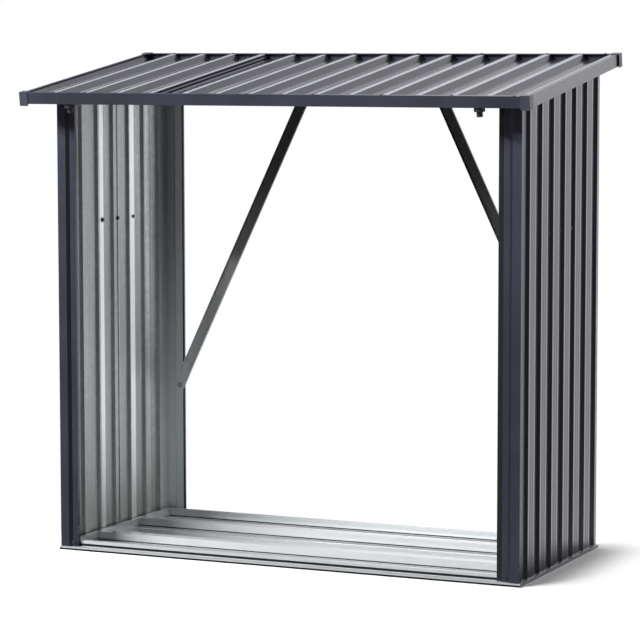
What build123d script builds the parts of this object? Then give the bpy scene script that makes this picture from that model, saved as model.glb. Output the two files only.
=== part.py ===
from build123d import *
import math
import os

# Open-front log store of pressed sheet steel, in millimetres.
# +Z is up, the open front faces -Y, the origin is the ground point under the middle of the roof.

# ---- overall sizes ----
roof_width = 1630.0        # over the corner caps
roof_length = 826.0        # along the slope, over the corner caps
roof_pitch = 8.1           # degrees, rising to the back
front_height = 1405.5      # ground to the top of the front trim
base_width = 1510.0
base_depth = 702.0
front_overhang = 113.0     # roof edge in front of the base

# ---- sheet ----
sheet = 1.0                # corrugated panels, trims and floor
plate = 1.4                # posts, rails, beams and braces
fit_gap = 0.2              # between pieces that slide together

# ---- roof sheet ----
roof_rib_pitch = 107.0
roof_rib_height = 17.0
roof_rib_crest = 22.0
roof_rib_flank = 12.0      # run of one sloping side
roof_last_rib = 16.0       # from the right edge of the sheet to the last rib
roof_pitches = 15          # from the first rib to the last
left_panel_pitches = 4
right_panel_pitches = 3
roof_lap_margin = 6.0      # flat left beside a lapped rib

# ---- wall sheet ----
wall_rib_pitch = 100.7
wall_rib_height = 9.0
wall_rib_crest = 54.0
wall_rib_flank = 7.0
wall_first_crest = 77.0    # front face of the base to the first rib's crest
wall_front_pitches = 3     # ribs on the front panel before the lap
wall_lap_margin = 10.0

# ---- base ----
rail_ledge_height = 10.0
rail_ledge_width = 24.0
rail_height = 28.0
rail_width = 36.0
rail_foot = 18.0           # flange turned under the rail's inner edge
beam_width = 36.0
front_beam_setback = 185.0  # base front to the first floor beam
rear_beam_setback = 462.0
floor_level = 3.0
floor_bead_height = 4.0
floor_bead_width = 14.0
floor_bead_margin = 22.0

# ---- posts ----
post_inset = 4.0           # post face behind the rail's edge
front_face_width = 57.0
front_step_start = 28.0    # outer band of the face, from the corner
front_step_run = 10.0
front_step_depth = 7.5
front_lip = 12.0           # left post, turned back
stop_setback = 8.0         # right post, flange behind the face
stop_width = 18.0
front_side_width = 58.0
side_return = 20.0         # part of the side in line with the corner
side_joggle = 5.0          # run of the fold down to the wall's valleys
rear_face_width = 80.0
rear_side_width = 58.0
rear_step_start = 43.0
rear_step_depth = 6.0
rear_lip = 6.0

# ---- top frame ----
beam_height = 34.0
beam_flange = 24.0
rear_beam_height = 60.0
top_rail_height = 46.0
top_rail_flange = 22.0

# ---- trims and corner caps ----
front_trim_height = 34.0
side_trim_height = 37.0
trim_lip = 14.0
cap_length = 28.0
cap_height = 42.0
cap_wall = 2.0
cap_side_gap = 3.0         # between a cap's side and the trim inside it

# ---- braces ----
brace_width = 36.0
brace_lip = 8.0
brace_tab = 46.0           # flat end beyond the folded lips
brace_foot_height = 436.0
brace_foot_inset = 67.0    # from the side of the base to the lower bolt
brace_head_inset = 562.0
brace_head_drop = 30.0     # rear beam's top to the upper bolt
brace_hole = 7.0

# ---- eave feet under the front trim ----
eave_foot_inset = 99.0     # from the side of the base
eave_foot_setback = 23.0
eave_disc_diameter = 32.0
eave_disc_height = 13.0
eave_stem_diameter = 18.0
eave_stem_height = 15.0

# ---- worked-out places ----
slope = math.radians(roof_pitch)
spare_height = roof_length / 2  # how far upright pieces are drawn past the cut under the roof
rib_lean = math.hypot(roof_rib_flank, roof_rib_height) / roof_rib_flank
wall_lean = math.hypot(wall_rib_flank, wall_rib_height) / wall_rib_flank
roof_lap = sheet * rib_lean + fit_gap / 2
wall_lap = sheet * wall_lean + fit_gap / 2
crest_top = roof_rib_height + sheet + roof_lap
trim_top = crest_top + fit_gap + sheet
cap_top = trim_top + fit_gap + cap_wall
cap_bottom = cap_top - cap_height
plan_depth = roof_length * math.cos(slope) + (cap_top - cap_bottom) * math.sin(slope)
roof_front_y = -plan_depth / 2 + cap_top * math.sin(slope)
roof_front_z = front_height - trim_top * math.cos(slope)
base_front = -plan_depth / 2 + front_overhang
base_back = base_front + base_depth
half_base = base_width / 2
trim_half_width = roof_width / 2 - cap_wall - cap_side_gap
trim_front = cap_wall + fit_gap
trim_back = roof_length - cap_wall - fit_gap
wall_plane = half_base - post_inset - plate - fit_gap   # outer crest of the wall ribs
wall_inner = wall_plane - wall_rib_height - sheet
rear_seat = base_back - post_inset - rear_step_depth - plate  # face that the braces bolt to


def roof_plane_z(y, below=0.0):
    """Height of the plane that carries the roof sheet, or of one parallel below it."""
    return roof_front_z + (y - roof_front_y) * math.tan(slope) - below / math.cos(slope)


def folded(points, thickness):
    """Section of folded sheet: one skin's line, thickened to the left of its run (right if negative)."""
    line = [Vector(*point) for point in points]
    runs = [(b - a).normalized() for a, b in zip(line, line[1:])]
    lefts = [Vector(-run.Y, run.X) for run in runs]
    corners = zip(line, [lefts[0]] + lefts, lefts + [lefts[-1]])
    skin = [p + (m + n) * (thickness / (1 + m.dot(n))) for p, m, n in corners]
    return make_face(Polyline(*line, *reversed(skin), close=True))


def along_x(section, start, stop):
    """A section drawn as (y, z), run from start to stop in X."""
    profile = Plane.YZ * section
    return Pos(start, 0, 0) * extrude(profile, stop - start, dir=(1, 0, 0))


def upright(section, bottom, top):
    """A section drawn in plan, stood up between two heights."""
    return Pos(0, 0, bottom) * extrude(section, top - bottom, dir=(0, 0, 1))


def on_roof(shape):
    """From the flat roof frame (x, up the slope, off the slope) to its tilted place."""
    return Location((0, roof_front_y, roof_front_z), (roof_pitch, 0, 0)) * shape


def mirrored(shape):
    return mirror(shape, about=Plane.YZ)


def below_roof(shape, drop=0.0):
    """What is left of an upright piece under the roof sheet's plane."""
    above = (Align.CENTER, Align.CENTER, Align.MIN)
    cutter = Box(2 * roof_width, 2 * roof_length, 2 * spare_height, align=above)
    return shape - on_roof(Pos(0, roof_length / 2, -drop) * cutter)


parts = {}

# ---- base frame: four mitred rails, two floor beams, three floor sheets ----
rail_points = [
    (0, 0),
    (0, rail_ledge_height),
    (rail_ledge_width, rail_ledge_height),
    (rail_ledge_width, rail_height),
    (rail_width, rail_height),
    (rail_width, 0),
    (rail_width - rail_foot, 0),
]


def base_rail(length):
    """Rail run along X with its outer edge on y = 0, its ends mitred."""
    rail = along_x(folded(rail_points, -plate), -length / 2, length / 2)
    for end in (-1, 1):
        corner = Plane(origin=(end * length / 2, 0, 0), x_dir=(0, 0, 1), z_dir=(end, 1, 0))
        rail = split(rail, bisect_by=corner, keep=Keep.BOTTOM)
    return rail


wide_rail = base_rail(base_width)
deep_rail = base_rail(base_depth)
base_middle = (base_front + base_back) / 2
parts["front_rail"] = Pos(0, base_front, 0) * wide_rail
parts["rear_rail"] = Pos(0, base_back, 0) * Rot(0, 0, 180) * wide_rail
parts["left_rail"] = Pos(-half_base, base_middle, 0) * Rot(0, 0, -90) * deep_rail
parts["right_rail"] = Pos(half_base, base_middle, 0) * Rot(0, 0, 90) * deep_rail

inner_half = half_base - rail_width
beam_points = [(0, 0), (0, rail_height), (beam_width, rail_height), (beam_width, 0)]
floor_beam = along_x(folded(beam_points, -plate), -inner_half, inner_half)
parts["front_floor_beam"] = Pos(0, base_front + front_beam_setback, 0) * floor_beam
parts["rear_floor_beam"] = Pos(0, base_front + rear_beam_setback, 0) * floor_beam


def floor_sheet(front, back):
    """Floor between two upstands, with a raised bead along its front and back."""
    run = back - front
    line = [(0, floor_level)]
    for start in (floor_bead_margin, run - floor_bead_margin - floor_bead_width):
        rise = floor_bead_height
        stop = start + floor_bead_width
        line += [(start, floor_level), (start + rise, floor_level + rise)]
        line += [(stop - rise, floor_level + rise), (stop, floor_level)]
    line += [(run, floor_level)]
    return Pos(0, front, 0) * along_x(folded(line, -sheet), -inner_half, inner_half)


first_beam = base_front + front_beam_setback
second_beam = base_front + rear_beam_setback
parts["floor_front"] = floor_sheet(base_front + rail_width, first_beam)
parts["floor_middle"] = floor_sheet(first_beam + beam_width, second_beam)
parts["floor_rear"] = floor_sheet(second_beam + beam_width, base_back - rail_width)

# ---- corner posts, drawn in plan for the left side ----
post_foot = rail_ledge_height
post_left = -half_base + post_inset
post_front = base_front + post_inset
post_back = base_back - post_inset
post_top = front_height + spare_height
side_leg = -(wall_plane - wall_rib_height + fit_gap + plate)  # leg that lies on the wall's valleys
face_edge = post_left + front_face_width
face_set_back = post_front + front_step_depth
front_post_line = [
    (side_leg, post_front + front_side_width),
    (side_leg, post_front + side_return + side_joggle),
    (post_left, post_front + side_return),
    (post_left, post_front),
    (post_left + front_step_start, post_front),
    (post_left + front_step_start + front_step_run, face_set_back),
    (face_edge, face_set_back),
]
left_post_line = front_post_line + [(face_edge, face_set_back + front_lip)]
parts["front_left_post"] = below_roof(upright(folded(left_post_line, plate), post_foot, post_top))
stop_front = face_set_back + stop_setback
right_post_line = front_post_line + [(face_edge, stop_front), (face_edge + stop_width, stop_front)]
right_post = below_roof(upright(folded(right_post_line, plate), post_foot, post_top))
parts["front_right_post"] = mirrored(right_post)

rear_side = -(wall_inner - wall_lap) + fit_gap
rear_post_line = [
    (rear_side, post_back - rear_side_width),
    (rear_side, post_back),
    (post_left + rear_step_start, post_back),
    (post_left + rear_step_start + rear_step_depth, post_back - rear_step_depth),
    (post_left + rear_face_width - plate, post_back - rear_step_depth),
    (post_left + rear_face_width - plate, post_back - rear_step_depth + rear_lip),
]
rear_post = upright(folded(rear_post_line, -plate), post_foot, post_top)
parts["rear_left_post"] = below_roof(rear_post)
parts["rear_right_post"] = mirrored(parts["rear_left_post"])

# ---- corrugated walls, drawn in plan for the right side ----
wall_front_edge = post_front + plate + fit_gap
wall_back_edge = post_back


def wall_line(start, stop, outer):
    """Plan line of the wall sheet's outer skin between two places in Y."""
    line = []
    crest_y = base_front + wall_first_crest
    while crest_y < stop + wall_rib_pitch:
        foot = outer - wall_rib_height
        line += [(foot, crest_y - wall_rib_flank), (outer, crest_y)]
        line += [(outer, crest_y + wall_rib_crest), (foot, crest_y + wall_rib_crest + wall_rib_flank)]
        crest_y += wall_rib_pitch
    inside = [p for p in line if start < p[1] < stop]

    def skin_x(y):
        """X of the skin at a place in Y, by going along the folds."""
        if y <= line[0][1]:
            return line[0][0]
        for a, b in zip(line, line[1:]):
            if a[1] <= y <= b[1]:
                return a[0] + (b[0] - a[0]) * (y - a[1]) / (b[1] - a[1])
        return line[-1][0]

    return [(skin_x(start), start)] + inside + [(skin_x(stop), stop)]


lap_crest = base_front + wall_first_crest + wall_front_pitches * wall_rib_pitch
lap_start = lap_crest - wall_rib_flank - wall_lap_margin
lap_stop = lap_crest + wall_rib_crest + wall_rib_flank + wall_lap_margin
front_sheet = folded(wall_line(wall_front_edge, lap_stop, wall_plane), sheet)
rear_sheet = folded(wall_line(lap_start, wall_back_edge, wall_plane - wall_lap), sheet)
for name, section in (("front", front_sheet), ("rear", rear_sheet)):
    panel = below_roof(upright(section, post_foot, post_top))
    parts[f"right_wall_{name}"] = panel
    parts[f"left_wall_{name}"] = mirrored(panel)

# ---- top frame: eave beams front and back, sloping rails at the sides ----
front_web = stop_front + plate
eave_points = [
    (front_web + beam_flange, roof_plane_z(front_web + beam_flange)),
    (front_web, roof_plane_z(front_web)),
    (front_web, roof_plane_z(front_web) - beam_height),
    (front_web + beam_flange, roof_plane_z(front_web) - beam_height),
]
parts["front_beam"] = along_x(folded(eave_points, plate), face_edge, -face_edge)

rear_post_inner = half_base - post_inset - rear_face_width
back_points = [
    (rear_seat + plate - beam_flange, roof_plane_z(rear_seat + plate - beam_flange)),
    (rear_seat + plate, roof_plane_z(rear_seat + plate)),
    (rear_seat + plate, roof_plane_z(rear_seat) - rear_beam_height),
]
parts["rear_beam"] = along_x(folded(back_points, -plate), -rear_post_inner, rear_post_inner)

rail_face = -rear_side - plate - fit_gap
side_rail_points = [
    (-top_rail_flange, 0),
    (0, 0),
    (0, -top_rail_height),
    (-top_rail_flange, -top_rail_height),
]
side_rail = along_x(folded(side_rail_points, -plate), -roof_length, roof_length)
side_rail = Pos(rail_face, roof_length / 2, 0) * Rot(0, 0, -90) * side_rail
rail_front = face_set_back + plate + fit_gap
rail_back = post_back - plate - fit_gap
rail_middle = (rail_front + rail_back) / 2
rail_room = Pos(0, rail_middle, front_height) * Box(2 * base_width, rail_back - rail_front, 2 * spare_height)
parts["right_top_rail"] = on_roof(side_rail) & rail_room
parts["left_top_rail"] = mirrored(parts["right_top_rail"])

# ---- roof sheet: three corrugated panels, lapped over one rib at each joint ----
roof_sheet_edge = trim_half_width - sheet - fit_gap
last_rib = roof_sheet_edge - roof_last_rib
left_lap_rib = last_rib - (roof_pitches - left_panel_pitches) * roof_rib_pitch
right_lap_rib = last_rib - right_panel_pitches * roof_rib_pitch
lap_reach = roof_rib_crest / 2 + roof_rib_flank + roof_lap_margin


def roof_line(start, stop, lift):
    """Line of the roof sheet's top skin across the ribs, between two places in X."""
    line = []
    rib_x = last_rib - (roof_pitches + 1) * roof_rib_pitch
    foot = roof_rib_crest / 2 + roof_rib_flank
    low = sheet + lift
    high = low + roof_rib_height
    while rib_x < roof_width:
        line += [(rib_x - foot, low), (rib_x - roof_rib_crest / 2, high)]
        line += [(rib_x + roof_rib_crest / 2, high), (rib_x + foot, low)]
        rib_x += roof_rib_pitch

    def skin_height(x):
        """Height of the skin at a place in X, by going along the folds."""
        for a, b in zip(line, line[1:]):
            if a[0] <= x <= b[0]:
                return a[1] + (b[1] - a[1]) * (x - a[0]) / (b[0] - a[0])
        return low

    inside = [p for p in line if start < p[0] < stop]
    return [(start, skin_height(start))] + inside + [(stop, skin_height(stop))]


sheet_front = trim_front + sheet + fit_gap
sheet_back = trim_back - sheet - fit_gap
for name, start, stop, lift in (
    ("left", -roof_sheet_edge, left_lap_rib + lap_reach, roof_lap),
    ("centre", left_lap_rib - lap_reach, right_lap_rib + lap_reach, 0.0),
    ("right", right_lap_rib - lap_reach, roof_sheet_edge, roof_lap),
):
    section = Plane.XZ * folded(roof_line(start, stop, lift), -sheet)
    panel = extrude(section, sheet_back - sheet_front, dir=(0, 1, 0))
    parts[f"roof_{name}_panel"] = on_roof(Pos(0, sheet_front, 0) * panel)


# ---- roof trims: channels closed over the edges of the sheet ----
def trim_section(height):
    line = [(trim_lip, trim_top), (0, trim_top), (0, trim_top - height), (trim_lip, trim_top - height)]
    return folded(line, sheet)


cross_trim = along_x(trim_section(front_trim_height), -trim_half_width, trim_half_width)
parts["roof_front_trim"] = on_roof(Pos(0, trim_front, 0) * cross_trim)
rear_line = [(-trim_lip, trim_top), (0, trim_top), (0, trim_top - front_trim_height)]
rear_trim = along_x(folded(rear_line, -sheet), -trim_half_width, trim_half_width)
parts["roof_rear_trim"] = on_roof(Pos(0, trim_back, 0) * rear_trim)
side_run = trim_back - trim_front - 2 * (trim_lip + fit_gap)
side_trim = along_x(trim_section(side_trim_height), -side_run / 2, side_run / 2)
side_trim = Pos(trim_half_width, roof_length / 2, 0) * Rot(0, 0, 90) * side_trim
parts["roof_right_trim"] = on_roof(side_trim)
parts["roof_left_trim"] = mirrored(parts["roof_right_trim"])

# ---- corner caps over the ends of the trims ----
lower_corner = (Align.MAX, Align.MIN, Align.MAX)
hood = Pos(roof_width / 2, 0, cap_top) * Box(cap_length, cap_length, cap_height, align=lower_corner)
hollow = Box(cap_length, cap_length, cap_height, align=lower_corner)
front_cap = hood - Pos(roof_width / 2 - cap_wall, cap_wall, cap_top - cap_wall) * hollow
rear_cap = Pos(0, roof_length, 0) * mirror(front_cap, about=Plane.XZ)
parts["front_right_cap"] = on_roof(front_cap)
parts["front_left_cap"] = mirrored(parts["front_right_cap"])
parts["rear_right_cap"] = on_roof(rear_cap)
parts["rear_left_cap"] = mirrored(parts["rear_right_cap"])

# ---- braces: folded straps from the rear beam down to the rear posts ----
foot_bolt = (-half_base + brace_foot_inset, brace_foot_height)
head_bolt = (-half_base + brace_head_inset, roof_plane_z(rear_seat) - brace_head_drop)
brace_run = math.dist(foot_bolt, head_bolt)
brace_angle = math.degrees(math.atan2(head_bolt[1] - foot_bolt[1], head_bolt[0] - foot_bolt[0]))
strap = SlotCenterToCenter(brace_run, brace_width)
strap -= Pos(-brace_run / 2, 0) * Circle(brace_hole / 2)
strap -= Pos(brace_run / 2, 0) * Circle(brace_hole / 2)
brace = extrude(strap, plate)
for side in (-1, 1):
    lip = Box(brace_run - 2 * brace_tab, plate, brace_lip, align=(Align.CENTER, Align.CENTER, Align.MIN))
    brace += Pos(0, side * (brace_width - plate) / 2, 0) * lip
upright_plane = Plane(
    origin=((foot_bolt[0] + head_bolt[0]) / 2, rear_seat, (foot_bolt[1] + head_bolt[1]) / 2),
    x_dir=(1, 0, 0),
    z_dir=(0, -1, 0),
)
parts["left_brace"] = upright_plane.location * Rot(0, 0, brace_angle) * brace
parts["right_brace"] = mirrored(parts["left_brace"])

# ---- eave feet: stepped discs under the front trim's lower lip ----
disc = Cylinder(eave_disc_diameter / 2, eave_disc_height, align=(Align.CENTER, Align.CENTER, Align.MAX))
stem = Cylinder(eave_stem_diameter / 2, eave_stem_height, align=(Align.CENTER, Align.CENTER, Align.MAX))
eave_foot = disc + Pos(0, 0, -eave_disc_height) * stem
eave_foot_x = half_base - eave_foot_inset
eave_foot_n = trim_top - front_trim_height
parts["right_eave_foot"] = on_roof(Pos(eave_foot_x, eave_foot_setback, eave_foot_n) * eave_foot)
parts["left_eave_foot"] = mirrored(parts["right_eave_foot"])

os.makedirs("parts", exist_ok=True)
for name, shape in parts.items():
    export_step(shape, f"parts/{name}.step")
print(len(parts), "parts")
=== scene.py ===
import math

import bmesh
import bpy
from mathutils import Matrix, Vector


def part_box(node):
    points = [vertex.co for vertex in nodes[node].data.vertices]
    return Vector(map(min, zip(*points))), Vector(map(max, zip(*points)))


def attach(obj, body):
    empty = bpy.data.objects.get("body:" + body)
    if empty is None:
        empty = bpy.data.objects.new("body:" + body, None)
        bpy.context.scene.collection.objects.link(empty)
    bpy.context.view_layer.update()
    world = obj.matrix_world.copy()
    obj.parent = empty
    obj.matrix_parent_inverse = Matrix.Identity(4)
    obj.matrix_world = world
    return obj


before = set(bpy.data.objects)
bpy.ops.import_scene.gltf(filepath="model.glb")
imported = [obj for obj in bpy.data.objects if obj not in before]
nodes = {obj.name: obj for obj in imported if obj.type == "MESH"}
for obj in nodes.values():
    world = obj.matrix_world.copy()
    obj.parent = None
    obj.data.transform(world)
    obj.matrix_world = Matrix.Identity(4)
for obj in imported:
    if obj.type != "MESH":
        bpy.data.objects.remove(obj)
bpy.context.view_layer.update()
print("frame loaded:", len(nodes), "nodes")

bothSides = ((1, "right"), (-1, "left"))  # sign of X, name
slope = math.radians(8.1)  # of the roof, rising to the back
gauge = {"sheet": 0.001, "plate": 0.0014}  # thickness of the walls and of the braces
tallGrain = (1, 1, 0.1)  # stretches a pattern along an upright piece


def tone(text):
    # a colour written as it shows on screen, turned to linear light
    parts = [int(text[i : i + 2], 16) / 255 for i in (0, 2, 4)]
    return tuple(p / 12.92 if p < 0.04045 else ((p + 0.055) / 1.055) ** 2.4 for p in parts) + (1.0,)


# shader maths as expressions: each operator adds its Math node
class Wire:
    def __init__(self, socket):
        self.socket = socket
        self.tree = socket.id_data

    def math(self, operation, first, second=0.0):
        node = self.tree.nodes.new("ShaderNodeMath")
        node.operation = operation
        for slot, value in enumerate((first, second)):
            if isinstance(value, Wire):
                self.tree.links.new(value.socket, node.inputs[slot])
            else:
                node.inputs[slot].default_value = value
        return Wire(node.outputs[0])

    def __add__(self, other):
        return self.math("ADD", self, other)

    def __sub__(self, other):
        return self.math("SUBTRACT", self, other)

    def __mul__(self, other):
        return self.math("MULTIPLY", self, other)

    def __truediv__(self, other):
        return self.math("DIVIDE", self, other)

    def __mod__(self, other):
        return self.math("FLOORED_MODULO", self, other)

    def __rsub__(self, other):
        return self.math("SUBTRACT", other, self)

    def __rtruediv__(self, other):
        return self.math("DIVIDE", other, self)

    def __rmod__(self, other):
        return self.math("FLOORED_MODULO", other, self)

    def __gt__(self, other):
        return self.math("GREATER_THAN", self, other)

    def __lt__(self, other):
        return self.math("LESS_THAN", self, other)

    def __abs__(self):
        return self.math("ABSOLUTE", self)

    def __or__(self, other):
        return self.math("MAXIMUM", self, other)

    def __and__(self, other):
        return self.math("MINIMUM", self, other)

    __radd__ = __add__
    __rmul__ = __mul__
    __ror__ = __or__
    __rand__ = __and__


class Finish:
    # the node tree of one material or of the world
    def __init__(self, owner):
        self.owner = owner
        owner.use_nodes = True
        self.tree = owner.node_tree
        self.tree.nodes.clear()

    def node(self, kind, settings=None, sockets=None, out=0):
        made = self.tree.nodes.new(kind)
        for key, value in (settings or {}).items():
            setattr(made, key, value)
        for key, value in (sockets or {}).items():
            if isinstance(value, Wire):
                self.tree.links.new(value.socket, made.inputs[key])
            else:
                made.inputs[key].default_value = value
        return Wire(made.outputs[out]) if made.outputs else None

    def axes(self, wire):
        return [self.node("ShaderNodeSeparateXYZ", None, {0: wire}, out=i) for i in range(3)]

    def coordinates(self, kind):
        # Normal: the way a face looks; Object: the place on the piece
        return self.axes(self.node("ShaderNodeTexCoord", out=kind))

    def rays(self, *kinds):
        return [self.node("ShaderNodeLightPath", out=f"Is {kind} Ray") for kind in kinds]

    def place(self, stretch=(1, 1, 1)):
        point = self.node("ShaderNodeTexCoord", out="Object")
        return self.node("ShaderNodeMapping", None, {"Vector": point, "Scale": stretch})

    def noise(self, scale, detail=2.0, rough=0.5, stretch=(1, 1, 1)):
        values = {"Vector": self.place(stretch), "Scale": scale, "Detail": detail, "Roughness": rough}
        return self.node("ShaderNodeTexNoise", None, values)

    def spangle(self, scale):
        # one number for each crystal of the zinc
        cell = self.node("ShaderNodeTexVoronoi", None, {"Vector": self.place(), "Scale": scale}, out="Color")
        return self.axes(cell)[0]

    def step(self, value, low, high):
        # 0 below low, 1 above high, smooth between
        ends = {"Value": value, "From Min": low, "From Max": high}
        return self.node("ShaderNodeMapRange", {"interpolation_type": "SMOOTHSTEP"}, ends)

    def reach(self, x, y):
        # how far x, y is from 0, 0
        return self.node("ShaderNodeMath", {"operation": "SQRT"}, {0: x * x + y * y})

    def line(self, place, at, half, core=0.5):
        # 1 along a line, fading past its core to 0 at half its width
        return 1.0 - self.step(abs(place - at), half * core, half)

    def band(self, place, low, high, soft):
        rise = self.step(place, low - soft, low + soft)
        return rise * (1.0 - self.step(place, high - soft, high + soft))

    def mix(self, factor, first, second):
        # two colours
        sockets = {0: factor, 6: first, 7: second}
        return self.node("ShaderNodeMix", {"data_type": "RGBA"}, sockets, out=2)

    def blend(self, factor, first, second):
        # two numbers
        return (second - first) * factor + first

    def bump(self, height):
        return self.node("ShaderNodeBump", None, {"Height": height, "Distance": 1.0, "Strength": 1.0})

    def shade(self, varied, fixed):
        surface = self.node("ShaderNodeBsdfPrincipled", None, {**fixed, **varied})
        self.node("ShaderNodeOutputMaterial", None, {"Surface": surface})
        return self.owner


def newFinish(name):
    return Finish(bpy.data.materials.new(name))


def dress(names, material, slot):
    for name in names:
        mesh = nodes[name].data
        mesh.materials.clear()
        mesh.materials.append(material)
    material["slot"] = slot


# below, f is a Finish and s the settings of a skin or piece
# a skin is its colour, metallic, roughness and height
# a noise is its scale, its detail and how rough that detail is

# anthracite paint, the outside of the sheet
paint = {
    "deep": "282a33",
    "pale": "31333e",
    "haze": (3.5, 4.0, 0.6),
    "hazeEnds": (0.3, 0.7),
    "roughness": 0.30,
    "smudge": 0.10,
    "grain": (900, 2.0),
    "grainHeight": 0.000012,
    "wave": (5.0, 1.0, 0.5),
    "waveHeight": 0.0016,
}
paintShell = {"IOR": 1.62, "Specular Tint": (0.8, 0.8, 1.0, 1.0)}


def paintSkin(f, s, along=(1, 1, 1)):
    haze = f.noise(*s["haze"])
    grain = f.noise(*s["grain"])
    wave = f.noise(*s["wave"], along)
    color = f.mix(f.step(haze, *s["hazeEnds"]), tone(s["deep"]), tone(s["pale"]))
    rough = (haze - 0.5) * s["smudge"] + s["roughness"]
    height = grain * s["grainHeight"] + wave * s["waveHeight"]
    return color, 0.0, rough, height


# galvanised zinc, the inside of the sheet and the bare frame
zinc = {
    "dark": "9a9d9e",
    "light": "b2b5b6",
    "cells": 95,
    "smallCells": 2.7,  # how much finer the second set is
    "cloud": (6.0, 4.0, 0.6),
    "cloudEnds": (0.3, 0.7),
    "weights": (0.45, 0.2, 0.35),  # of cells, small cells and cloud in the mottle
    "metal": 0.55,
    "roughness": 0.36,
    "spread": 0.06,
    "wave": (4.5, 1.0, 0.5),
    "waveHeight": 0.0010,
}


def zincSkin(f, s, along=(1, 1, 1)):
    cell = f.spangle(s["cells"])
    small = f.spangle(s["cells"] * s["smallCells"])
    cloud = f.step(f.noise(*s["cloud"], along), *s["cloudEnds"])
    wave = f.noise(*s["wave"], along)
    cellPart, smallPart, cloudPart = s["weights"]
    mottle = cell * cellPart + small * smallPart + cloud * cloudPart
    color = f.mix(mottle, tone(s["dark"]), tone(s["light"]))
    rough = (cell - 0.5) * s["spread"] + s["roughness"]
    return color, s["metal"], rough, wave * s["waveHeight"]


def finishSkin(f, skin, fixed=None, coat=None):
    color, metallic, rough, height = skin
    varied = {"Base Color": color, "Metallic": metallic, "Roughness": rough, "Normal": f.bump(height)}
    if coat is not None:
        varied["Coat Weight"] = coat
    return f.shade(varied, fixed or {})


def finishPair(f, outside, mask, inside, fixed=None, coat=None):
    # outside skin where the mask is 1, inside skin where it is 0
    color = f.mix(mask, inside[0], outside[0])
    numbers = [f.blend(mask, inner, outer) for inner, outer in zip(inside[1:], outside[1:])]
    return finishSkin(f, (color, *numbers), fixed, None if coat is None else coat * mask)


def ribLines(f, place, ribs, which="lines"):
    # 1 on the lines that run along each rib, 0 between them
    along = (place - ribs["from"]) % ribs["pitch"]
    found = 0.0
    for at, half, weight in ribs[which]:
        found = f.line(along, at, half) * weight + found
    return found


# ribbed walls
wallRibs = {
    "from": -0.2288,  # foot of the first rib's front flank
    "pitch": 0.1007,
    # where each line runs after the rib's start, half its width, how strong it is
    "lines": ((0.0125, 0.0070, 1.0), (0.0350, 0.0060, 0.45), (0.0565, 0.0070, 0.9)),
    "coatRoughness": 0.12,
    "grain": (1, 1, 0.04),
}

wallInside = {
    "dim": "9c9f9f",
    "bright": "eceff0",
    "ground": 0.16,  # how bright the sheet is away from the bands
    # painted reflections: bright bands where the sheet mirrors the studio light; from, to, how bright
    "reflectionBands": ((-0.051, -0.024, 0.75), (0.145, 0.180, 0.75), (0.250, 0.300, 0.30), (0.302, 0.330, 0.30)),
    "bandSoft": 0.004,
    "streaks": (38.0, 3.0, 0.6),
    "streakWeight": 0.7,
    "cells": 80,
    "cellWeight": 0.12,
    "foot": "8b9088",
    "footHeight": 0.5,
    "footWeight": 0.5,
    "metal": 0.85,
    "roughness": 0.42,
    "spread": 0.2,
    "wave": (7.0, 2.0, 0.5),
    "waveHeight": 0.003,
}


def wallInsideSkin(f, s, y, z):
    streak = f.noise(*s["streaks"], wallRibs["grain"]) - 0.5
    cell = f.spangle(s["cells"]) - 0.5
    # painted reflections: the bands lift the zinc towards the bright tone
    reflectionBands = 0.0
    for low, high, weight in s["reflectionBands"]:
        reflectionBands = f.band(y, low, high, s["bandSoft"]) * weight + reflectionBands
    lift = reflectionBands + streak * s["streakWeight"] + cell * s["cellWeight"] + s["ground"]
    color = f.mix(f.step(lift, 0.0, 1.0), tone(s["dim"]), tone(s["bright"]))
    foot = (1.0 - f.step(z, 0.0, s["footHeight"])) * s["footWeight"]
    color = f.mix(foot, color, tone(s["foot"]))
    wave = f.noise(*s["wave"], wallRibs["grain"])
    return color, s["metal"], streak * s["spread"] + s["roughness"], wave * s["waveHeight"]


def wallFinish(side, label):
    f = newFinish(f"wall sheet {label}")
    nx = f.coordinates("Normal")[0]
    _, y, z = f.coordinates("Object")
    outside = paintSkin(f, paint, wallRibs["grain"])
    inside = wallInsideSkin(f, wallInside, y, z)
    coat = ribLines(f, y, wallRibs)
    fixed = {**paintShell, "Coat Roughness": wallRibs["coatRoughness"]}
    return finishPair(f, outside, nx * side > 0, inside, fixed, coat)


for side, label in bothSides:
    dress([f"{label}_wall_front", f"{label}_wall_rear"], wallFinish(side, label), "wall_sheet")
print("walls dressed")

# corner posts
frontPost = {
    "faceWeight": 2.0,  # how far front faces outweigh side ones in what counts as outside
    "lipAt": 0.6947,  # nearer the middle than this is the stop flange
    # painted shade: the recessed stop flange and the step's riser are painted darker than the face
    "stopShade": "1e1f22",
    "stopSmoother": 0.12,
    "riser": (0.3, 0.95),  # how far the step's riser looks sideways
    "riserShade": "16171a",
}

rearPost = {
    "faceWeight": 2.0,
    "hemAt": 0.6768,  # nearer the middle than this is the painted hem
    "zinc": {**zinc, "dark": "989b9b", "light": "adb0b0"},
    # painted light: the zinc is paler towards the foot, below the roof's shade
    "litFoot": "e6e9e9",  # paler zinc towards the foot
    "litFootFrom": 1.1,
    "litFootFull": 0.2,
}


def frontPostFinish(side, label):
    f = newFinish(f"front post {label}")
    s = frontPost
    nx, ny, _ = f.coordinates("Normal")
    x = f.coordinates("Object")[0]
    stop = x * side < s["lipAt"]
    mask = (ny * -s["faceWeight"] + nx * side > 0) | stop
    least, most = s["riser"]
    riser = (abs(nx) > least) & (abs(nx) < most) & (ny < 0)
    color, metallic, rough, height = paintSkin(f, paint, tallGrain)
    # painted shade on the stop flange and on the riser
    color = f.mix(stop | riser, color, f.mix(riser, tone(s["stopShade"]), tone(s["riserShade"])))
    outside = (color, metallic, rough - stop * s["stopSmoother"], height)
    return finishPair(f, outside, mask, zincSkin(f, zinc, tallGrain), paintShell)


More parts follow.
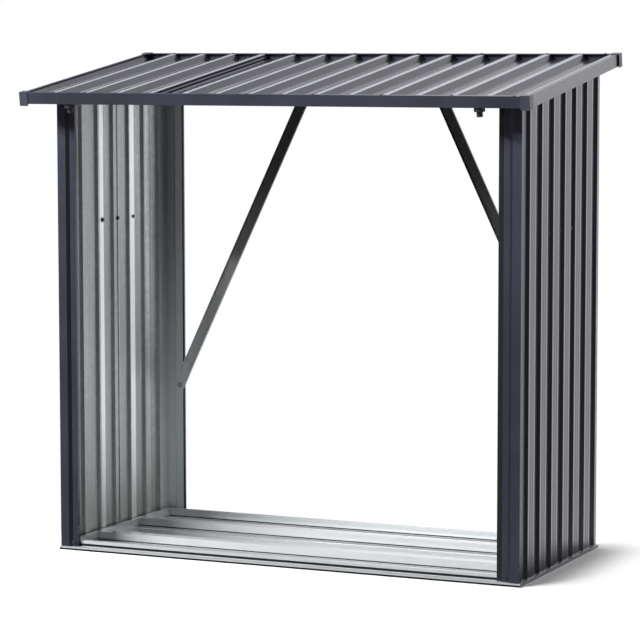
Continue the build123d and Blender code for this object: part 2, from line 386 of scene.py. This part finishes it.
def rearPostFinish(side, label):
    f = newFinish(f"rear post {label}")
    s = rearPost
    nx, ny, _ = f.coordinates("Normal")
    x, _, z = f.coordinates("Object")
    mask = (ny * s["faceWeight"] + nx * side > 0) | (x * side < s["hemAt"])
    color, *others = zincSkin(f, s["zinc"], tallGrain)
    # painted light: paler zinc towards the foot
    color = f.mix(f.step(z, s["litFootFrom"], s["litFootFull"]), color, tone(s["litFoot"]))
    return finishPair(f, paintSkin(f, paint, tallGrain), mask, (color, *others), paintShell)


for side, label in bothSides:
    dress([f"front_{label}_post"], frontPostFinish(side, label), "post_paint")
    dress([f"rear_{label}_post"], rearPostFinish(side, label), "post_paint")
print("posts dressed")

# roof sheet, trims and caps
roofRibs = {
    "from": 0.7393,  # half a pitch left of the last rib
    "pitch": 0.107,
    "lines": ((0.0890, 0.0140, 1.0),),  # the sheet right of each rib
    "crest": ((0.0560, 0.0095, 1.0),),  # the top of each rib
    "grain": (1, 0.15, 1),
}

roof = {
    "paint": {**paint, "deep": "23242c", "pale": "2e3039", "roughness": 0.24},
    # painted highlight: the tops of the ribs are painted paler where they catch the light
    "crestHighlight": "a6a8b2",  # paler tops of the ribs
    "crestHighlightWeight": 0.5,
    "crestRougher": 0.28,
    "seams": (-0.3703, -0.3643),  # painted shadow lines in the left lap: at the sheet edge and beside it
    "seamHalf": 0.0021,
    "lapShade": "060607",
    "lapShadeRougher": 0.6,
    "coat": 0.08,
    "coatRoughness": 0.10,
}

trim = {
    "paint": {**paint, "roughness": 0.31},
    "sideways": 0.8,  # faces that look at least this far to the side are coated
    "coat": 0.45,
    "coatRoughness": 0.2,
}


def roofFinish():
    f = newFinish("roof sheet")
    s = roof
    nz = f.coordinates("Normal")[2]
    x = f.coordinates("Object")[0]
    color, _, rough, height = paintSkin(f, s["paint"], roofRibs["grain"])
    crest = ribLines(f, x, roofRibs, "crest")
    # painted highlight on the rib tops
    color = f.mix(crest * s["crestHighlightWeight"], color, tone(s["crestHighlight"]))
    # painted shadow: two dark lines along the left lap
    lapShaded = 0.0
    for at in s["seams"]:
        lapShaded = f.line(x, at, s["seamHalf"]) + lapShaded
    color = f.mix(lapShaded, color, tone(s["lapShade"]))
    rough = lapShaded * s["lapShadeRougher"] + crest * s["crestRougher"] + rough
    outside = (color, lapShaded, rough, height)  # as metal, the painted shadow lines have no gloss
    coat = (ribLines(f, x, roofRibs) + s["coat"]) * (1.0 - lapShaded)
    fixed = {**paintShell, "Coat Roughness": s["coatRoughness"]}
    return finishPair(f, outside, nz > 0, zincSkin(f, zinc, roofRibs["grain"]), fixed, coat)


def trimFinish():
    f = newFinish("roof trim")
    nx = f.coordinates("Normal")[0]
    coat = (abs(nx) > trim["sideways"]) * trim["coat"]
    fixed = {**paintShell, "Coat Roughness": trim["coatRoughness"]}
    return finishSkin(f, paintSkin(f, trim["paint"]), fixed, coat)


plastic = {"grain": (700, 3.0, 0.6), "haze": (25, 3.0), "smudge": 0.1, "grainHeight": 0.00006}
capPlastic = {**plastic, "deep": "2c303a", "pale": "383c48", "roughness": 0.42}
footPlastic = {**plastic, "deep": "1c1c1f", "pale": "29292c", "roughness": 0.5}


def plasticFinish(name, s):
    f = newFinish(name)
    grain = f.noise(*s["grain"])
    color = f.mix(f.noise(*s["haze"]), tone(s["deep"]), tone(s["pale"]))
    return finishSkin(f, (color, 0.0, (grain - 0.5) * s["smudge"] + s["roughness"], grain * s["grainHeight"]))


roofPanels = [f"roof_{place}_panel" for place in ("left", "centre", "right")]
roofTrims = [f"roof_{place}_trim" for place in ("front", "rear", "left", "right")]
caps = [f"{end}_{label}_cap" for end in ("front", "rear") for label in ("left", "right")]
dress(roofPanels, roofFinish(), "roof_sheet")
dress(roofTrims, trimFinish(), "roof_trim")
dress(caps, plasticFinish("corner cap", capPlastic), "corner_cap")
dress(["left_eave_foot", "right_eave_foot"], plasticFinish("eave foot", footPlastic), "eave_foot")
print("roof dressed")

# zinc pieces
plainZinc = {**zinc, "spread": 0.0, "waveHeight": 0.0003}
baseZinc = {**plainZinc, "dark": "cccfd1", "light": "d0d3d4", "roughness": 0.22, "metal": 0.4}
floorZinc = {**plainZinc, "dark": "d3d6d8", "light": "d7dadc", "roughness": 0.16, "metal": 0.76}
floorGrain = (0.1, 1, 1)
frameZinc = {**zinc, "dark": "7c7f82", "light": "a5a8ab"}
boltZinc = {**zinc, "dark": "9a9da0", "light": "c4c7ca", "roughness": 0.28, "cells": 700}

# painted shade: dark lines along the rails' lower edge and in the fold at the riser's foot
railShadeLines = {
    "edge": (0.0020, 0.0046),  # lower cut edge: height and half its width
    "fold": (0.0150, 0.0050),  # foot of the riser, on the outer faces alone
    "core": 0.6,  # share of that half that is fully dark
    "middle": 0.0522,  # of the base's depth
    "outside": 0.321,  # half the depth beyond which a face is an outer one
    "facing": 0.5,  # faces that look at least this far to the front or back
    "shade": "0c0d10",
}

# painted light and shade: the brace is painted darker up in the roof's shade and brighter towards the foot,
# where the lamp reaches
brace = {
    "dim": {**zinc, "dark": "424446", "light": "505254", "roughness": 0.42, "metal": 0.35},
    "bright": ("d8dbdb", "e6e8e8"),
    "brightFrom": 1.25,  # darker above this, brighter towards the foot
    "brightFull": 0.35,
}


def zincFinish(name, s, along=(1, 1, 1)):
    f = newFinish(name)
    return finishSkin(f, zincSkin(f, s, along))


def baseRailFinish():
    f = newFinish("base zinc")
    s = railShadeLines
    ny = f.coordinates("Normal")[1]
    _, y, z = f.coordinates("Object")
    color, metallic, rough, height = zincSkin(f, baseZinc)
    outer = abs(y - s["middle"]) > s["outside"]
    edge, fold = [f.line(z, at, half, s["core"]) for at, half in (s["edge"], s["fold"])]
    # painted shade lines, with the metal taken off there
    lip = (edge | fold * outer) * (abs(ny) > s["facing"])
    return finishSkin(f, (f.mix(lip, color, tone(s["shade"])), (1.0 - lip) * metallic, rough, height))


def braceFinish():
    f = newFinish("brace zinc")
    z = f.coordinates("Object")[2]
    color, *others = zincSkin(f, brace["dim"])
    bright = f.mix(f.spangle(zinc["cells"]), *[tone(text) for text in brace["bright"]])
    # painted light towards the foot, painted shade above
    color = f.mix(f.step(z, brace["brightFrom"], brace["brightFull"]), color, bright)
    return finishSkin(f, (color, *others))


rails = [f"{place}_rail" for place in ("front", "rear", "left", "right")]
floors = [f"floor_{place}" for place in ("front", "middle", "rear")]
dress(rails + ["front_floor_beam", "rear_floor_beam"], baseRailFinish(), "base_zinc")
dress(floors, zincFinish("floor zinc", floorZinc, floorGrain), "floor_zinc")
topFrame = ["front_beam", "rear_beam", "left_top_rail", "right_top_rail"]
dress(topFrame, zincFinish("frame zinc", frameZinc), "frame_zinc")
dress(["left_brace", "right_brace"], braceFinish(), "brace_zinc")
print("zinc dressed")

# bolts and screws
headForm = {
    "sides": 28,  # of a washer or a round head
    "washerTaper": 0.93,
    "crownFrom": 0.9,  # share of the head's height above which its edges are rounded
    "crownRound": 0.45,  # rounding as a share of the head's height
    "crownSteps": 3,
}
panHead = {"washer": 0.0048, "thick": 0.0005, "radius": 0.0038, "height": 0.0013, "sides": headForm["sides"]}
hexHead = {"washer": 0.0085, "thick": 0.0014, "radius": 0.0066, "height": 0.0045, "sides": 6}


def addDisc(bm, sides, radius, topRadius, foot, tall):
    disc = bmesh.ops.create_cone(
        bm, cap_ends=True, segments=sides, radius1=radius, radius2=topRadius, depth=tall
    )
    bmesh.ops.translate(bm, verts=disc["verts"], vec=(0, 0, foot + tall / 2))


def addFixing(bm, head):
    # one fixing on +Z: washer, then a domed pan or a hexagon head
    washer, thick, radius, height = [head[key] for key in ("washer", "thick", "radius", "height")]
    addDisc(bm, headForm["sides"], washer, washer * headForm["washerTaper"], 0.0, thick)
    addDisc(bm, head["sides"], radius, radius, thick, height)
    crownFoot = thick + height * headForm["crownFrom"]
    crown = [edge for edge in bm.edges if all(vert.co.z > crownFoot for vert in edge.verts)]
    bmesh.ops.bevel(
        bm,
        geom=crown,
        offset=height * headForm["crownRound"],
        segments=headForm["crownSteps"],
        profile=0.5,
        affect="EDGES",
        material=-1,
    )


def fixings(name, head, places, material):
    # places: (point on the sheet, direction the head looks)
    whole = bmesh.new()
    for point, look in places:
        one = bmesh.new()
        addFixing(one, head)
        turn = Vector(look).normalized().to_track_quat("Z", "Y").to_matrix().to_4x4()
        bmesh.ops.transform(one, matrix=Matrix.Translation(point) @ turn, verts=one.verts)
        scrap = bpy.data.meshes.new("oneFixing")
        one.to_mesh(scrap)
        one.free()
        whole.from_mesh(scrap)
        bpy.data.meshes.remove(scrap)
    mesh = bpy.data.meshes.new(name)
    whole.to_mesh(mesh)
    whole.free()
    mesh.materials.append(material)
    for polygon in mesh.polygons:
        polygon.use_smooth = len(polygon.vertices) == 4
    made = bpy.data.objects.new(name, mesh)
    bpy.context.scene.collection.objects.link(made)
    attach(made, "root")


# one screw on every second roof rib, through the front and rear trims
trimScrews = {
    "head": panHead,
    "lastRib": 0.7928,
    "ribs": 2,
    "count": 8,
    "nudge": -0.027,  # moves the last one clear of the corner cap
    "lip": 0.014,  # how far the front trim's top reaches back
    "height": 0.034,  # of the rear trim
    "onLip": 0.0075,  # from a trim's outer edge to its screws
}


def trimScrewPlaces(s):
    rise, run = math.sin(slope), math.cos(slope)
    up = Vector((0, run, rise))
    out = Vector((0, -rise, run))
    frontLow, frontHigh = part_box("roof_front_trim")
    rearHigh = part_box("roof_rear_trim")[1]
    places = []
    for k in range(s["count"]):
        x = s["lastRib"] - k * s["ribs"] * roofRibs["pitch"] + (s["nudge"] if k == 0 else 0.0)
        frontEdge = Vector((x, frontLow[1], frontHigh[2] - s["lip"] * rise))
        rearEdge = Vector((x, rearHigh[1] - s["height"] * rise, rearHigh[2]))
        places.append((frontEdge + up * s["onLip"], out))
        places.append((rearEdge - up * s["onLip"], out))
    return places


# screws that hold the wall sheet to the rails, one in each trough, low and high
sheetScrews = {
    "head": {**panHead, "radius": 0.0042, "washer": 0.0052, "height": 0.0018},
    "first": -0.1445,
    "count": 6,
    "lapsAt": 0.15,  # troughs behind this are in the rear sheet
    "low": 0.019,
    "belowTop": 0.022,
}


def sheetFace(side, low, high):
    # X of the inner face of a wall's troughs
    return low[0] if side > 0 else high[0]


def sheetScrewPlaces(s):
    places = []
    for side, label in bothSides:
        for k in range(s["count"]):
            y = s["first"] + k * wallRibs["pitch"]
            low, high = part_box(f"{label}_wall_front" if y < s["lapsAt"] else f"{label}_wall_rear")
            x = sheetFace(side, low, high) + side * gauge["sheet"]
            top = high[2] - (high[1] - y) * math.tan(slope)
            for z in (s["low"], top - s["belowTop"]):
                places.append(((x, y, z), (side, 0, 0)))
    return places


# a row of bolts through each wall, with nuts inside
wallBolts = {
    "head": {**panHead, "radius": 0.0055, "washer": 0.0065},
    "nut": {**hexHead, "radius": 0.0058, "washer": 0.0078},
    "first": -0.0358,
    "count": 3,
    "height": 1.003,
}


def wallBoltPlaces(s, out, thick):
    # out is 1 for the heads outside and -1 for the nuts inside
    places = []
    for side, label in bothSides:
        x = sheetFace(side, *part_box(f"{label}_wall_front")) + side * thick
        for k in range(s["count"]):
            places.append(((x, s["first"] + k * wallRibs["pitch"], s["height"]), (side * out, 0, 0)))
    return places


# bolts at the ends of the braces, with nuts behind
braceBolts = {
    "head": hexHead,
    "nut": {**hexHead, "height": 0.0038},
    "foot": (0.688, 0.436),
    "top": (0.193, 1.4688),
    "step": 0.006,  # how far the post is set in there
}


def braceBoltPlaces(s):
    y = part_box("left_brace")[1][1] - gauge["plate"]
    return [((side * x, y, z), (0, -1, 0)) for side, _ in bothSides for x, z in (s["foot"], s["top"])]


def braceNutPlaces(s):
    places = []
    for side, label in bothSides:
        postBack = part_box(f"rear_{label}_post")[1][1] - s["step"]
        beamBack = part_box("rear_beam")[1][1]
        for (x, z), y in ((s["foot"], postBack), (s["top"], beamBack)):
            places.append(((side * x, y, z), (0, 1, 0)))
    return places


footBolts = {"head": {**panHead, "radius": 0.0045, "washer": 0.0058}, "x": 0.7075, "z": 0.024}


def footBoltPlaces(s):
    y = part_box("front_right_post")[0][1]
    return [((side * s["x"], y, s["z"]), (0, -1, 0)) for side, _ in bothSides]


screwPaint = {**plastic, "deep": "24262c", "pale": "30333a", "roughness": 0.35}
boltFinish = zincFinish("bolt zinc", boltZinc)
screwFinish = plasticFinish("painted screw", screwPaint)
outerBolts = wallBoltPlaces(wallBolts, 1, gauge["sheet"])
innerNuts = wallBoltPlaces(wallBolts, -1, 0.0)
fixings("trimScrews", trimScrews["head"], trimScrewPlaces(trimScrews), screwFinish)
fixings("sheetScrews", sheetScrews["head"], sheetScrewPlaces(sheetScrews), screwFinish)
fixings("wallNuts", wallBolts["nut"], innerNuts, screwFinish)
fixings("wallBolts", wallBolts["head"], outerBolts, screwFinish)
fixings("braceBolts", braceBolts["head"], braceBoltPlaces(braceBolts), boltFinish)
fixings("braceNuts", braceBolts["nut"], braceNutPlaces(braceBolts), boltFinish)
fixings("footBolts", footBolts["head"], footBoltPlaces(footBolts), screwFinish)
print("fixings made")

# plain white studio: a soft wide lamp in front and above, a fill from the side and the top
studio = {
    "floorSize": 40.0,
    "floorTone": "f3f3f4",
    "floorBounce": "77777a",  # what the floor throws back on the object
    "footing": (0.75, 0.35),  # half the ground that the object covers
    "fade": (0.02, 0.20),  # how far outside it the shadow starts and ends to fade
    "skyLight": 0.15,
    "glossFront": 0.16,  # what glossy surfaces see in front of the object
    "frontEnds": (-0.35, 0.25),  # where front turns to back
    "glossDip": 0.08,  # what they see behind it to the left
    "dip": (0.42, 0.51, 1.5, 2.5),  # where that part starts and ends, as left over back
    "leastBack": 0.02,  # keeps left over back finite
}

lamps = {
    "front": {"power": 820, "size": (3.6, 0.1), "place": (-3.0, -4.2, 4.4), "aim": (0.0, -0.3, 0.9)},
    "side": {"power": 60, "size": (3.0, 3.0), "place": (4.0, 3.2, 2.6), "aim": (0.0, 0.0, 0.8)},
    "top": {"power": 130, "size": (3.5, 3.5), "place": (-0.5, 1.2, 4.6), "aim": (0.0, 0.0, 0.9)},
}


def glossLevel(f, x, y):
    # how bright the studio is to glossy rays that go towards x, y in plan
    behind = f.step(y, *studio["frontEnds"])
    left = x * -1.0 / (y | studio["leastBack"])
    start, full, last, over = studio["dip"]
    dip = f.step(left, start, full) * (1.0 - f.step(left, last, over)) * behind
    level = f.blend(behind, studio["glossFront"], 1.0)
    return level - dip * (1.0 - studio["glossDip"])


def makeFloor():
    bm = bmesh.new()
    bmesh.ops.create_grid(bm, x_segments=1, y_segments=1, size=studio["floorSize"] / 2)
    mesh = bpy.data.meshes.new("studioFloor")
    bm.to_mesh(mesh)
    bm.free()
    floor = bpy.data.objects.new("studioFloor", mesh)
    bpy.context.scene.collection.objects.link(floor)
    f = newFinish("studioFloor")
    x, y, _ = f.coordinates("Object")
    camera, glossy, through = f.rays("Camera", "Glossy", "Transmission")
    reach = f.reach(x, y)
    beyondX, beyondY = [(abs(axis) - half) | 0.0 for axis, half in zip((x, y), studio["footing"])]
    away = f.reach(beyondX, beyondY)
    backdrop = f.step(away, *studio["fade"]) * (camera | glossy | through)
    strength = camera + (1.0 - camera) * glossLevel(f, x / reach, y / reach)
    shown = f.mix(camera, tone(studio["floorBounce"]), tone(studio["floorTone"]))
    matte = f.node("ShaderNodeBsdfDiffuse", None, {"Color": shown})
    white = f.node("ShaderNodeEmission", None, {"Color": (1, 1, 1, 1), "Strength": strength})
    both = f.node("ShaderNodeMixShader", None, {0: backdrop, 1: matte, 2: white})
    f.node("ShaderNodeOutputMaterial", None, {"Surface": both})
    mesh.materials.append(f.owner)


def makeWorld():
    world = bpy.data.worlds.new("studio")
    bpy.context.scene.world = world
    f = Finish(world)
    camera, glossy, through = f.rays("Camera", "Glossy", "Transmission")
    x, y, _ = f.coordinates("Generated")
    shiny = glossy | through
    other = shiny * glossLevel(f, x, y) + (1.0 - shiny) * studio["skyLight"]
    strength = camera + (1.0 - camera) * other
    shade = f.node("ShaderNodeBackground", None, {"Color": (1, 1, 1, 1), "Strength": strength})
    f.node("ShaderNodeOutputWorld", None, {"Surface": shade})


def softLight(name, s):
    lamp = bpy.data.lights.new(name, "AREA")
    lamp.shape = "RECTANGLE"
    lamp.size, lamp.size_y = s["size"]
    lamp.energy = s["power"]
    holder = bpy.data.objects.new(name, lamp)
    holder.location = s["place"]
    holder.rotation_euler = (Vector(s["aim"]) - Vector(s["place"])).to_track_quat("-Z", "Y").to_euler()
    bpy.context.scene.collection.objects.link(holder)


makeFloor()
makeWorld()
for name, lamp in lamps.items():
    softLight(name, lamp)
print("studio lit")

view = {
    "place": (3.4439, -7.6725, 1.5529),
    "yaw": 24.218,  # degrees, as are the next two
    "down": 5.699,
    "roll": -0.057,
    "lens": 155.95,  # millimetres, as is the sensor
    "sensor": 36.0,
    "farthest": 200.0,
}


def makeCamera(s):
    lens = bpy.data.cameras.new("camera")
    lens.lens = s["lens"]
    lens.sensor_width = s["sensor"]
    lens.clip_end = s["farthest"]
    camera = bpy.data.objects.new("camera", lens)
    camera.location = s["place"]
    turn = Matrix.Rotation(math.radians(s["yaw"]), 4, "Z")
    turn = turn @ Matrix.Rotation(math.radians(90 - s["down"]), 4, "X")
    turn = turn @ Matrix.Rotation(math.radians(s["roll"]), 4, "Z")
    camera.rotation_euler = turn.to_euler()
    bpy.context.scene.collection.objects.link(camera)
    bpy.context.scene.camera = camera


makeCamera(view)
bpy.context.scene.view_settings.view_transform = "Standard"

print("scene ready")
